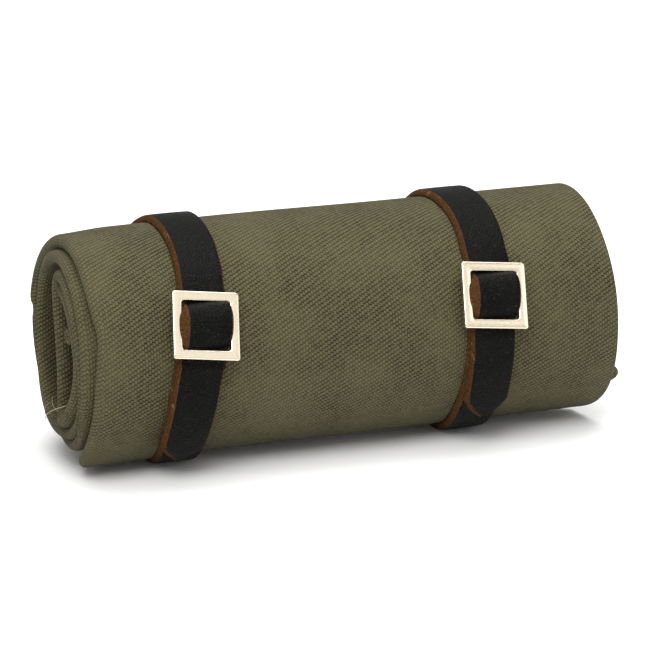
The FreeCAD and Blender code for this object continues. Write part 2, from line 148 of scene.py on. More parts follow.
class StrapSettings(bpy.types.PropertyGroup):
    """Sizes and colours of the two leather straps."""
    width: length_property("Width", "Width of the strap's flesh side", 15 * MM)
    thickness: length_property("Thickness", "Thickness of the leather", 2.25 * MM)
    bevel: length_property("Edge slant", "How far the cut edge slants in", 1.15 * MM)
    far_bevel: length_property("Far slant", "How far the other cut edge slants in", 0.6 * MM)
    swell: length_property("Swell", "How far the flesh swells over each side rim", 1.15 * MM)
    fold: length_property("Fold", "Extra thickness of the folded leather over the bar", 1.1 * MM)
    point: length_property("Point", "Length of the tail's pointed tip", 9 * MM)
    grain: colour_property("Grain", "Colour of the black grain side", (0.0020, 0.0019, 0.0017))
    cut: colour_property("Cut edge", "Colour of the raw edge and flesh side", (0.092, 0.041, 0.014))


class BuckleSettings(bpy.types.PropertyGroup):
    """Sizes and colour of the two slide buckles."""
    side: length_property("Side", "Outer side of the square frame", 21 * MM)
    window: length_property("Window", "Inner side of the square frame", 15.2 * MM)
    thickness: length_property("Thickness", "Thickness of the frame", 1.8 * MM)
    edge: length_property("Edge radius", "Rounding of the frame's edges", 0.4 * MM)
    bar: length_property("Bar", "Diameter of the middle bar", 1.8 * MM)
    colour: colour_property("Plating", "Colour of the plated metal", (0.90, 0.79, 0.61))


# ---------------------------------------------------------------- meshes from grids


def grid_quads(rows, columns):
    """Quads of a grid whose columns close on themselves: each row is a ring of points."""
    index = np.arange(rows * columns).reshape(rows, columns)
    index = np.hstack([index, index[:, :1]])
    return np.stack([index[:-1, :-1], index[:-1, 1:], index[1:, 1:], index[1:, :-1]], -1).reshape(-1, 4)


def new_object(name, data):
    """A new object with this data, linked to the scene."""
    item = bpy.data.objects.new(name, data)
    bpy.context.scene.collection.objects.link(item)
    return item


def ring_mesh(name, points, uv, flip=False):
    """Mesh from rings of points (rows, columns, 3), with an end face on the first and last ring.

    uv has one column more than points, so that the pattern runs on across the closing edge.
    """
    rows, columns = points.shape[:2]
    quads = grid_quads(rows, columns)
    first = np.arange(columns)[::-1]
    last = np.arange(columns) + (rows - 1) * columns
    if flip:
        quads, first, last = quads[:, ::-1], first[::-1], last[::-1]
    mesh = bpy.data.meshes.new(name)
    faces = quads.tolist() + [first.tolist(), last.tolist()]
    mesh.from_pydata(points.reshape(-1, 3).tolist(), [], faces)
    corners = np.stack([uv[:-1, :-1], uv[:-1, 1:], uv[1:, 1:], uv[1:, :-1]], 2).reshape(-1, 4, 2)
    if flip:
        corners = corners[:, ::-1]
    ends = [uv[0, :-1][::-1], uv[-1, :-1]]
    if flip:
        ends = [end[::-1] for end in ends]
    layer = mesh.uv_layers.new(name="cloth")
    values = np.concatenate([corners.reshape(-1, 2)] + ends)
    layer.data.foreach_set("uv", values.ravel().astype(np.float32))
    mesh.polygons.foreach_set("use_smooth", np.ones(len(mesh.polygons), bool))
    mesh.validate()
    return new_object(name, mesh)


def point_attribute(piece, name, values):
    layer = piece.data.attributes.new(name, "FLOAT", "POINT")
    layer.data.foreach_set("value", np.asarray(values, np.float32).ravel())


def smoothstep(x):
    x = np.clip(x, 0.0, 1.0)
    return x * x * (3 - 2 * x)


def bump(x, centre, half_width):
    """Bell curve: 1 at the centre, about 0.02 at twice the half width."""
    return np.exp(-((x - centre) / half_width) ** 2)


def unit(vectors):
    return vectors / np.linalg.norm(vectors, axis=-1, keepdims=True)


def arc_length(points):
    steps = np.linalg.norm(np.diff(points, axis=0), axis=-1)
    return np.concatenate([[0.0], np.cumsum(steps)])


def smooth_path(points, count):
    """Catmull-Rom curve through the points, resampled at equal steps of its length."""
    points = np.asarray(points, float)
    padded = np.vstack([2 * points[0] - points[1], points, 2 * points[-1] - points[-2]])
    t = np.linspace(0, len(points) - 1 - 1e-9, 40 * len(points))
    k = t.astype(int)
    f = (t - k)[:, None]
    a, b, c, d = (padded[k + i] for i in range(4))
    curve = 0.5 * (2 * b + (c - a) * f + (2 * a - 5 * b + 4 * c - d) * f ** 2
                   + (3 * b - a - 3 * c + d) * f ** 3)
    length = arc_length(curve)
    even = np.linspace(0, length[-1], count)
    return np.stack([np.interp(even, length, curve[:, i]) for i in range(curve.shape[1])], -1)


def waves(u, v, seed, scales):
    """Smooth irregular relief: a sum of sine waves with seeded directions and phases."""
    random = np.random.default_rng(seed)
    total = np.zeros(np.broadcast(u, v).shape)
    for scale in scales:
        turn, phase = random.uniform(0, 2 * math.pi, 2)
        total = total + np.sin((u * math.cos(turn) + v * math.sin(turn)) * 2 * math.pi / scale + phase)
    return total / len(scales)


# ---------------------------------------------------------------- rolled cloth


def lap_line(turns, sizes):
    """Middle line of the cloth in the YZ plane after this many turns from its outer edge.

    The radius stays level for most of a turn, then steps in by one lap pitch; the inner
    laps are drawn in at the back, by a sixth-power sine of the turns.
    """
    whole = np.floor(turns)
    steps = whole + smoothstep((turns - whole - STEP_START) / (1 - STEP_START))
    radius = ROLL_RADIUS - sizes.cloth / 2 - sizes.pitch * steps
    squeeze = sizes.core_squeeze * np.sin(math.pi / 2 * np.minimum(turns / 2.7, 1)) ** 6
    angle = START_ANGLE + 2 * math.pi * turns
    back = ((1 - np.cos(angle)) / 2) ** 2
    return np.stack([-radius * np.cos(angle) - squeeze * back, radius * np.sin(angle)], -1)


def lap_frame(turns, sizes):
    """Middle line, outward normal and angle round the roll at each station."""
    line = lap_line(turns, sizes)
    nudge = 1e-3
    along = unit(lap_line(turns + nudge, sizes) - lap_line(turns - nudge, sizes))
    outward = np.stack([-along[:, 1], along[:, 0]], -1)
    angle = START_ANGLE + 2 * math.pi * turns
    return line, outward, angle


def left_rim_x(turns, sizes):
    """Where the left rim lies along the roll.

    Inner laps stand out by smooth steps, and the edge wanders by two sines.  The first lap
    has a kink at the front, a drawn-in loose corner, and a crease with a step at the back.
    """
    reach = sizes.rim_reach * smoothstep((turns - 0.78) / 0.5)
    inner = 0.7 * MM * smoothstep((turns - 1.9) / 0.6)
    wander = 0.9 * MM * np.sin(2 * math.pi * turns * 1.7 + 0.6) + 0.5 * MM * np.sin(17.0 * turns + 1.0)
    kink = 1.1 * MM * bump(turns, 0.285, 0.035)
    corner = 7.0 * MM * bump(turns, -0.010, 0.043)
    step = 1.0 * MM * smoothstep((turns - 0.711) / 0.010) * smoothstep((1.0 - turns) / 0.12)
    crease = 1.0 * MM * bump(turns, 0.711, 0.009)
    return ROLL_MIDDLE - 85.3 * MM - reach - inner - wander * 0.7 + kink + corner + step + crease


def right_rim_x(turns, sizes):
    """Where the right rim lies: nearly even, with bell-shaped bulges low at the front.

    One corner of the second lap peeps out past the first.
    """
    peep = 8.3 * MM * bump(turns, 1.113, 0.035) - 1.3 * MM * smoothstep((turns - 0.8) / 0.2)
    wander = 0.35 * MM * np.sin(2 * math.pi * turns * 1.3 + 2.0)
    spread = 1.7 * MM * bump(turns, 0.11, 0.10) + 0.8 * MM * bump(turns, 0.27, 0.09)
    corner = -1.5 * MM * bump(turns, 0.0, 0.04)
    return ROLL_MIDDLE + 85.7 * MM + peep + wander + spread + corner


def left_rim_height(turns, sizes):
    """Thickness of the left fold: fuller up the back of the first lap, and in the core."""
    full_back = 1.2 * MM * smoothstep((turns - 0.42) / 0.1) * smoothstep((0.722 - turns) / 0.012)
    return sizes.rim + full_back + 1.1 * MM * smoothstep((turns - 2.3) / 0.4)


def surface_lift(turns, x, angle, sizes):
    """How far the cloth stands off its even lap.

    The first lap has slack, a sum of waves, and a corner that flares near the left rim; all
    laps are pressed in together at the top of the left end.
    """
    outer = 1 - smoothstep((turns - 0.55) / 0.3)
    slack = 0.32 * MM * waves(x, turns * 0.22, 11, (0.11, 0.074, 0.052, 0.139)) * outer
    left = x - (ROLL_MIDDLE - 85.5 * MM)
    near_corner = smoothstep(1 - left / (46 * MM))
    flare = sizes.corner_flare * near_corner * bump(angle, math.radians(-70), math.radians(30))
    around = np.remainder(angle, 2 * math.pi)
    dent = 1.0 * MM * smoothstep(1 - left / (19 * MM)) * bump(around, math.radians(108), 0.55)
    return slack + flare * outer - dent


def rounded_strip(left, right, low, high_left, high_right, counts):
    """Closed section of a strip of cloth, for every station at once.

    It runs in from the middle of the inner face to the left nose, round it as half an
    ellipse, along the outer face, round the right nose and back.  Returns distances along
    the roll, offsets from the outer face and the running length across the cloth.
    """
    face, nose, back = counts
    ease = (1 - np.cos(np.linspace(0, math.pi, face))) / 2
    half_turn = np.linspace(0, math.pi, nose + 2)[1:-1]
    back_share = (1 - np.cos(np.linspace(0, math.pi, back))) / 2
    r_left, r_right = high_left / 2, high_right / 2
    x_out = (left + r_left)[:, None] + (right - r_right - left - r_left)[:, None] * ease
    x_right = (right - r_right)[:, None] + r_right[:, None] * np.sin(half_turn)
    x_left = (left + r_left)[:, None] - r_left[:, None] * np.sin(half_turn)
    x_back = (right - r_right)[:, None] - (right - r_right - left - r_left)[:, None] * back_share
    fade_left = smoothstep(1 - (x_back - (left + r_left)[:, None]) / RIM_FADE)
    fade_right = smoothstep(1 - ((right - r_right)[:, None] - x_back) / RIM_FADE)
    depth_back = (low[:, None] + (high_left - low)[:, None] * fade_left
                  + (high_right - low)[:, None] * fade_right)
    depth_right = r_right[:, None] * (1 - np.cos(half_turn))
    depth_left = r_left[:, None] * (1 + np.cos(half_turn))
    x = np.hstack([x_out, x_right, x_back, x_left])
    depth = np.hstack([np.zeros_like(x_out), depth_right, depth_back, depth_left])
    closed_x = np.hstack([x, x[:, :1]])
    closed_depth = np.hstack([depth, depth[:, :1]])
    steps = np.hypot(np.diff(closed_x, axis=1), np.diff(closed_depth, axis=1))
    run = np.hstack([x[:, :1], x[:, :1] + np.cumsum(steps, axis=1)])
    return x, depth, run


def stations(first, last, per_turn):
    """Even stations from the first to the last turn of a sheet."""
    return np.linspace(first, last, int((last - first) * per_turn))


def wound_sheet(name, turns, inward, left, right, cloth, rim, hem, sizes, counts=(84, 12, 46)):
    """A sheet of cloth wound along the laps: a rounded strip section carried round the spiral.

    Its rims' places and thicknesses are numbers, or one value for each station.
    """
    count = len(turns)
    line, outward, angle = lap_frame(turns, sizes)
    left, right, low, rim, hem = (np.broadcast_to(value, turns.shape)
                                  for value in (left, right, cloth, rim, hem))
    x, depth, run = rounded_strip(left, right, low, rim, hem, counts)
    lift = surface_lift(turns[:, None], x, angle[:, None], sizes)
    from_end = np.minimum(np.linspace(0, 1, count), np.linspace(1, 0, count)) * count / 4
    thin_end = np.sqrt(np.clip(1 - (1 - from_end).clip(0, 1) ** 2, 0.02, 1))
    middle = cloth / 2
    offset = middle - inward + lift - middle - (depth - middle) * thin_end[:, None]
    plane = line[:, None, :] + outward[:, None, :] * offset[..., None]
    points = np.stack([x, plane[..., 0] + AXIS_Y, np.maximum(plane[..., 1] + AXIS_Z, FLOOR_GAP)], -1)
    along = arc_length(line + outward * middle)
    uv = np.stack([run, np.repeat(along[:, None], run.shape[1], 1)], -1)
    return ring_mesh(name, points, uv, flip=True), along[-1]


def lathe_along_x(name, profile, centre_y, centre_z, around=28):
    """Surface turned about a line along X from (x, radius) pairs, closed at both poles."""
    profile = np.asarray(profile, float)
    angle = np.linspace(0, 2 * math.pi, around, endpoint=False)
    ring = np.stack([np.cos(angle), np.sin(angle)], -1)
    points = np.empty((len(profile), around, 3))
    points[..., 0] = profile[:, :1]
    points[..., 1] = centre_y + profile[:, 1:] * ring[:, 0]
    points[..., 2] = centre_z + profile[:, 1:] * ring[:, 1]
    along = arc_length(profile)
    girth = np.linspace(0, 2 * math.pi, around + 1) * 2.4 * MM
    uv = np.stack(np.meshgrid(along, girth, indexing="ij"), -1)
    return ring_mesh(name, points, uv)


def tube(name, path, radius, around=8, taper=0.35):
    """Round tube along a path of points, thinner towards its ends."""
    path = np.asarray(path, float)
    along = unit(np.gradient(path, axis=0))
    side = unit(np.cross(along, [0.0, 0.2, 1.0]))
    other = np.cross(along, side)
    angle = np.linspace(0, 2 * math.pi, around, endpoint=False)
    share = np.linspace(0, 1, len(path))
    width = radius * (taper + (1 - taper) * np.sin(math.pi * share) ** 0.3)
    ring = side[:, None] * np.cos(angle)[:, None] + other[:, None] * np.sin(angle)[:, None]
    points = path[:, None] + ring * width[:, None, None]
    uv = np.stack(np.meshgrid(arc_length(path), np.linspace(0, 1, around + 1) * MM, indexing="ij"), -1)
    return ring_mesh(name, points, uv)


def join(name, pieces):
    """Several pieces made one, keeping their meshes' places."""
    first = pieces[0]
    with bpy.context.temp_override(active_object=first, selected_editable_objects=pieces,
                                   selected_objects=pieces, object=first):
        bpy.ops.object.join()
    first.name = name
    first.data.name = name
    return first


# ---------------------------------------------------------------- leather straps


def buckle_place(side):
    """Middle of the buckle, where it rocks."""
    return JOINTS[side + "_buckle_rock"]["pos_m"]


def leather_x(drifts, side, degrees):
    """The leather's middle along the roll, by degrees round it: it leans and drifts."""
    return buckle_place(side)[0] + np.interp(degrees, *drifts[side]) * MM


def local_to_world(side, up, out):
    """Points given by distance up and out from the roll under the buckle's middle."""
    normal = np.array([-math.cos(BUCKLE_ANGLE), math.sin(BUCKLE_ANGLE)])
    tangent = np.array([math.sin(BUCKLE_ANGLE), math.cos(BUCKLE_ANGLE)])
    plane = (ROLL_RADIUS + out)[:, None] * normal + up[:, None] * tangent
    x = buckle_place(side)[0] - up * math.tan(BUCKLE_YAW[side])
    return np.column_stack([x, plane[:, 0] + AXIS_Y, plane[:, 1] + AXIS_Z])


def strap_section(width, thickness, slant, far_slant):
    """Section of the leather, across and outwards, with its cut mark, for every station.

    A flat flesh side, a short upright side, a slanted trimmed edge, a rounded brow and a
    slightly crowned grain side.  Each edge point lies inset from the side by a share of
    that edge's slant, at a share of the thickness.
    """
    half = width[:, None] / 2
    thick = thickness[:, None]
    inset = np.array([0.0, 0.0, 0.0, 0.03, 0.5, 0.90, 1.02, 1.14, 1.40])
    height = np.array([0.0, 0.10, 0.28, 0.34, 0.70, 0.905, 0.930, 0.955, 0.985])
    cut = [1, 1, 1, 1, 1, 1, 1, 0, 0]
    near = -half + slant * inset
    far = half - far_slant * inset[::-1]
    share = np.linspace(0, 1, 15)[1:-1]
    crown = near[:, -1:] + (far[:, :1] - near[:, -1:]) * share
    crown_height = 0.985 + 0.12 * share * (1 - share)
    flesh = np.linspace(1, -1, 9)[1:-1]
    x = np.hstack([near, crown, far, half * flesh])
    heights = np.concatenate([height, crown_height, height[::-1], 0 * flesh])
    mark = cut + [0] * len(share) + cut[::-1] + [1] * len(flesh)
    return x, thick * (heights - 0.5), np.array(mark, float)


def leather(name, path, outward, width, thickness, slant, far_slant, uv_start=0.0):
    """A strap: the leather section carried along a path, square to it on the roll's surface."""
    along = unit(np.gradient(path, axis=0))
    across = unit(np.cross(outward, along))
    outward = np.cross(along, across)
    x, y, mark = strap_section(width, thickness, slant, far_slant)
    points = path[:, None] + across[:, None] * x[..., None] + outward[:, None] * y[..., None]
    points[..., 2] = np.maximum(points[..., 2], 0.0)
    closed = np.dstack([np.hstack([x, x[:, :1]]), np.hstack([y, y[:, :1]])])
    steps = np.linalg.norm(np.diff(closed, axis=1), axis=-1)
    girth = np.hstack([np.zeros((len(path), 1)), np.cumsum(steps, axis=1)])
    run = np.repeat(arc_length(path)[:, None] + uv_start, girth.shape[1], 1)
    piece = ring_mesh(name, points, np.stack([girth, run], -1), flip=True)
    point_attribute(piece, "cut_edge", np.tile(mark, (len(path), 1)))
    return piece


def path_normals(path):
    """Outward normals in the YZ plane for a path that runs round the roll downwards at the front."""
    along = unit(np.gradient(path[:, 1:], axis=0))
    return np.column_stack([np.zeros(len(path)), along[:, 1], -along[:, 0]])


# ---------------------------------------------------------------- operators


def wear(piece, *materials):
    piece.data.materials.clear()
    for material in materials:
        piece.data.materials.append(material)


class TOOLROLL_OT_canvas(bpy.types.Operator):
    """Winds the outer cloth, its lining panels and the rolled hem of its inner end"""
    bl_idname = "toolroll.canvas"
    bl_label = "Rolled canvas"

    def execute(self, context):
        sizes = context.scene.tool_roll_canvas
        cloth = canvas_material(sizes)
        turns = stations(0.0, CORE_TURNS, 150)
        panel, length = wound_sheet(
            "canvas_outer_panel", turns, 0.0, left_rim_x(turns, sizes), right_rim_x(turns, sizes),
            sizes.cloth, left_rim_height(turns, sizes), sizes.hem, sizes)
        inward = sizes.cloth + LINING_GAP
        turns = stations(POCKET_START, TURNS - 0.06, 80)
        pocket, pocket_length = wound_sheet(
            "canvas_pocket_panel", turns, inward, left_rim_x(turns, sizes) + 9 * MM,
            ROLL_MIDDLE + 10 * MM, LINING, LINING_RIM, LINING_RIM, sizes, counts=(36, 6, 20))
        flap, flap_length = wound_sheet(
            "canvas_top_flap", turns, inward, ROLL_MIDDLE + 26 * MM,
            right_rim_x(turns, sizes) - 5 * MM, LINING, LINING_RIM, LINING_RIM, sizes,
            counts=(36, 6, 20))
        curl = self.curl(sizes)
        for piece, node in ((panel, "outer_panel"), (pocket, "pocket_panel"), (flap, "top_flap"),
                            (curl, None)):
            wear(piece, cloth)
            if node:
                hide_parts(node)
            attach(piece, BODY)
        return {"FINISHED"}

    def curl(self, sizes):
        """The rolled inner hem: a cord-like roll with a rounded nose and a hole at its left end."""
        left = left_rim_x(np.array([TURNS]), sizes)[0] - 0.2 * MM
        right = ROLL_MIDDLE + 84 * MM
        hole, girth = 0.7 * MM, 2.7 * MM
        middle, half = (girth + hole) / 2, (girth - hole) / 2
        nose = [(left + girth * 0.6 * (1 - math.sin(turn)), middle - half * math.cos(turn))
                for turn in np.linspace(0, math.pi, 13)]
        pole = 0.05 * MM
        profile = [(left + 9 * MM, pole), (left + 9 * MM, hole), (left + 4 * MM, hole), *nose,
                   (left + 20 * MM, girth), (right - 2 * MM, girth), (right, girth * 0.6), (right, pole)]
        return lathe_along_x("canvas_inner_hem", profile, AXIS_Y - 14.8 * MM, AXIS_Z + 8.0 * MM)


class TOOLROLL_OT_threads(bpy.types.Operator):
    """Sews the hem and lays the few loose threads at the left end"""
    bl_idname = "toolroll.threads"
    bl_label = "Stitches and loose threads"

    def execute(self, context):
        sizes = context.scene.tool_roll_canvas
        thread = thread_material("cotton_thread", (0.16, 0.145, 0.085))
        pale = thread_material("pale_thread", (0.40, 0.37, 0.29))
        seam = join("hem_thread", self.stitches(sizes))
        wear(seam, thread)
        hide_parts("hem_stitching")
        fray = join("loose_threads", self.strands())
        wear(fray, pale)
        for piece in (seam, fray):
            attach(piece, BODY)
        for name in ("pocket_stitching", "flap_stitching"):
            wear(frame["nodes"][name], thread)
        return {"FINISHED"}

    def stitches(self, sizes):
        """A row of tubes on the outer face, each lifted along its length by half a sine."""
        edge = HEM_DEPTH / (2 * math.pi * ROLL_RADIUS)
        line, outward, angle = lap_frame(np.array([edge]), sizes)
        share = np.linspace(0, math.pi, 9)
        pieces = []
        for number in range(STITCHES):
            x = ROLL_MIDDLE - 78 * MM + number * STITCH_PITCH + np.linspace(0, STITCH_LENGTH, 9)
            lift = surface_lift(np.full(9, edge), x, np.full(9, angle[0]), sizes)
            out = sizes.cloth / 2 + lift + 0.12 * MM * np.sin(share) - 0.19 * MM
            plane = line[0] + outward[0] * out[:, None]
            path = np.column_stack([x, plane[:, 0] + AXIS_Y, plane[:, 1] + AXIS_Z])
            pieces.append(tube("stitch", path, 0.24 * MM, around=8))
        return pieces

    def strands(self):
        """One thick and three thin loose threads, through points in mm from the left end's axis."""
        left = ROLL_MIDDLE - 88.9 * MM
        loose = (
            (0.13, ((0.4, 9.5, -25.2), (-0.8, 6.0, -23.4), (-1.2, 1.0, -20.6), (-0.8, -6.0, -17.4),
                    (1.0, -12.0, -14.8))),
            (0.07, ((0.6, 7.5, -24.6), (-0.7, 6.8, -22.0), (-0.9, 5.0, -19.6), (-0.2, 3.0, -17.8))),
            (0.07, ((0.6, 9.0, -23.4), (-0.4, 7.4, -24.0), (-0.6, 5.0, -23.2))),
            (0.07, ((0.8, -4.0, -19.4), (-0.6, -2.0, -17.2), (0.2, 1.0, -15.4))),
        )
        pieces = []
        for radius, points in loose:
            path = smooth_path(np.array(points) * MM + [left, AXIS_Y, AXIS_Z], 28)
            pieces.append(tube("strand", path, radius * MM, around=6))
        return pieces


class TOOLROLL_OT_straps(bpy.types.Operator):
    """Carries each leather strip round the roll, over its buckle's bar and out to its point"""
    bl_idname = "toolroll.straps"
    bl_label = "Leather straps"

    def execute(self, context):
        sizes = context.scene.tool_roll_straps
        hide = leather_material(sizes)
        for side in SIDES:
            strap = self.strap(side, sizes)
            tail = self.tail(side, sizes)
            wear(strap, hide)
            wear(tail, hide)
            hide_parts(side + "_strap", side + "_fold_stitching")
            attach(strap, BODY)
            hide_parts(side + "_strap_tail")
            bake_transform(tail)
        return {"FINISHED"}

    def strap(self, side, sizes):
        """Once round from behind the buckle, then up over the bar and under the lower rim."""
        middle = STRAP_BOTTOM + sizes.thickness / 2
        degrees = np.linspace(22.0, -360 + 36.5, 300)
        turned = np.radians(degrees)
        ring = np.column_stack([leather_x(STRAP_DRIFT, side, degrees),
                                -middle * np.cos(turned) + AXIS_Y, middle * np.sin(turned) + AXIS_Z])
        up = np.array([8.6, 7.4, 6.5, 5.2, 3.0, 0.0, -3.0, -5.2, -6.6, -7.8, -9.3, -10.8, -12.4])
        out = np.array([0.15, 0.85, 2.5, 4.7, 5.85, 6.15, 5.9, 4.95, 3.45, 2.5, 2.05, 1.8, 1.62])
        window = local_to_world(side, up * MM, out * MM)
        path = smooth_path(np.vstack([ring[::6], window]), 620)
        share = arc_length(path) / arc_length(path)[-1]
        crest = local_to_world(side, np.array([0.0]), np.array([FOLD_CREST]))[0]
        near = np.linalg.norm(path - crest, axis=1)
        lens = (1 - (near / FOLD_REACH) ** 2).clip(0, 1) ** 0.75 * (share > 0.5)
        width = sizes.width - 0.25 * MM + 2 * sizes.swell * lens
        thickness = sizes.thickness + sizes.fold * lens
        normals = path_normals(path)
        path = path - normals * ((thickness - sizes.thickness) / 2)[:, None]
        return leather(side + "_strap_leather", path, normals, width, thickness,
                       (sizes.bevel + 1.4 * MM * lens)[:, None],
                       (sizes.far_bevel + 0.35 * MM * lens)[:, None])

    def tail(self, side, sizes):
        """The free end: out from under the lower rim, down over the strap to a pointed tip."""
        tip = math.radians({"left": -52.5, "right": -44.0}[side])
        up = np.array([-7.8, -9.4, -11.4, -13.4]) * MM
        out = np.array([2.4, 2.2, 1.95, 1.68]) * MM
        start = local_to_world(side, up, out)
        lean = {"left": -0.75 * MM, "right": 0.4 * MM}[side]
        start[:, 0] += lean * np.array([0.1, 0.35, 0.7, 1.0])
        first = BUCKLE_ANGLE - math.asin(17.5 * MM / (40 * MM))
        angle = first + np.linspace(0, 1, 9) * (tip - first)
        radius = TAIL_RADIUS + 0.30 * MM * np.linspace(0, 1, 9) ** 3
        rest = np.column_stack([leather_x(TAIL_DRIFT, side, np.degrees(angle)),
                                -radius * np.cos(angle) + AXIS_Y, radius * np.sin(angle) + AXIS_Z])
        path = smooth_path(np.vstack([start, rest]), 190)
        from_tip = arc_length(path)[-1] - arc_length(path)
        taper = np.clip(from_tip / sizes.point, 0.0004, 1) ** 0.6
        width = (sizes.width - 0.3 * MM) * np.clip(taper, 0.012, 1)
        thickness = sizes.thickness * (0.93 + 0.07 * np.clip(from_tip / (12 * MM), 0, 1))
        slant = np.minimum(0.75 * MM + 1.5 * MM * bump(from_tip, 0, 10 * MM), width * 0.45)
        far_slant = np.minimum(sizes.far_bevel, width * 0.3)
        return leather(side + "_tail_leather", path, path_normals(path), width, thickness,
                       slant[:, None], far_slant[:, None], uv_start=0.4)


class TOOLROLL_OT_buckles(bpy.types.Operator):
    """Makes each square slide buckle, with its middle bar, and plates the rivet caps and posts at the
    back
    """
    bl_idname = "toolroll.buckles"
    bl_label = "Slide buckles and rivets"

    def execute(self, context):
        sizes = context.scene.tool_roll_buckles
        metal = metal_material("plated_metal", sizes.colour, 0.19)
        rivet_metal = metal_material("rivet_plating", (0.72, 0.68, 0.60), 0.33)
        for side in SIDES:
            buckle = self.buckle(side, sizes)
            wear(buckle, metal)
            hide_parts(side + "_buckle")
            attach(buckle, side + "_buckle_body")
            for part in ("_rivet_cap", "_rivet_post"):
                wear(frame["nodes"][side + part], rivet_metal)
        return {"FINISHED"}

    def buckle(self, side, sizes):
        """Square ring between two rounded squares, edges rolled off, plus a round bar."""
        frame_ring = self.square_ring(side + "_frame", sizes)
        pole, girth = 0.02 * MM, sizes.bar / 2
        bar = lathe_along_x(side + "_bar", [(-BAR_HALF, pole), (-BAR_HALF, girth), (BAR_HALF, girth),
                                            (BAR_HALF, pole)], 0.0, 0.0, around=20)
        piece = join(side + "_buckle_metal", [frame_ring, bar])
        tilt = Matrix.Rotation(-BUCKLE_TILT, 4, "X")
        yaw = Matrix.Rotation(-BUCKLE_YAW[side], 4, "Y")
        climb = Matrix.Rotation(-BUCKLE_ANGLE, 4, "X")
        piece.data.transform(Matrix.Translation(buckle_place(side)) @ climb @ yaw @ tilt)
        return piece

    def square_ring(self, name, sizes):
        """Grid: one way round the square, the other way round its section.

        Both squares have rounded corners; each section point lies between the inner and
        the outer square, and the section is a rectangle with its corners rolled off.
        """
        per_corner, per_side = 9, 14
        inner = self.rounded_square(sizes.window / 2, 1.0 * MM, per_corner, per_side)
        outer = self.rounded_square(sizes.side / 2, 0.95 * MM, per_corner, per_side)
        band = (sizes.side - sizes.window) / 2
        half = sizes.thickness / 2
        radius = sizes.edge
        share, height = [], []
        for corner_share, corner_height, start in (
                (1, 1, 0.0), (0, 1, 0.5), (0, -1, 1.0), (1, -1, 1.5)):
            sweep = np.linspace(start, start + 0.5, 6) * math.pi
            centre_share = abs(corner_share - radius / band)
            share += list(centre_share + np.cos(sweep) * radius / band)
            height += list(corner_height * (half - radius) + np.sin(sweep) * radius)
        share, height = np.array(share), np.array(height)
        flat = inner[:, None] + (outer - inner)[:, None] * share[:, None]
        points = np.stack([flat[..., 0], np.broadcast_to(-height, flat.shape[:2]), flat[..., 1]], -1)
        points = np.concatenate([points, points[:1]])
        round_length = arc_length(points[:, 0])
        section = np.linspace(0, 2 * (band + sizes.thickness), len(share) + 1)
        uv = np.stack(np.meshgrid(round_length, section, indexing="ij"), -1)
        piece = ring_mesh(name, points, uv)
        close_ring(piece)
        return piece

    def rounded_square(self, half, radius, per_corner, per_side):
        """Points round a square with quarter-circle corners and even straight sides."""
        def corner(turn):
            return (half - radius) * np.sign([math.cos(turn + 0.7), math.sin(turn + 0.7)])

        points = []
        for number in range(4):
            start = number * math.pi / 2
            end = start + math.pi / 2
            sweep = np.linspace(start, end, per_corner)
            arc = corner(start) + radius * np.stack([np.cos(sweep), np.sin(sweep)], -1)
            goal = corner(end) + radius * np.array([math.cos(end), math.sin(end)])
            line = arc[-1] + (goal - arc[-1]) * np.linspace(0, 1, per_side + 2)[1:-1, None]
            points += [arc, line]
        return np.vstack(points)


def close_ring(piece):
    """Drops the two end faces of a ring that meets itself, and merges its doubled points."""
    work = bmesh.new()
    work.from_mesh(piece.data)
    ends = [face for face in work.faces if len(face.verts) > 4]
    bmesh.ops.delete(work, geom=ends, context="FACES_ONLY")
    bmesh.ops.remove_doubles(work, verts=work.verts[:], dist=1e-7)
    bmesh.ops.recalc_face_normals(work, faces=work.faces[:])
    work.to_mesh(piece.data)
    work.free()


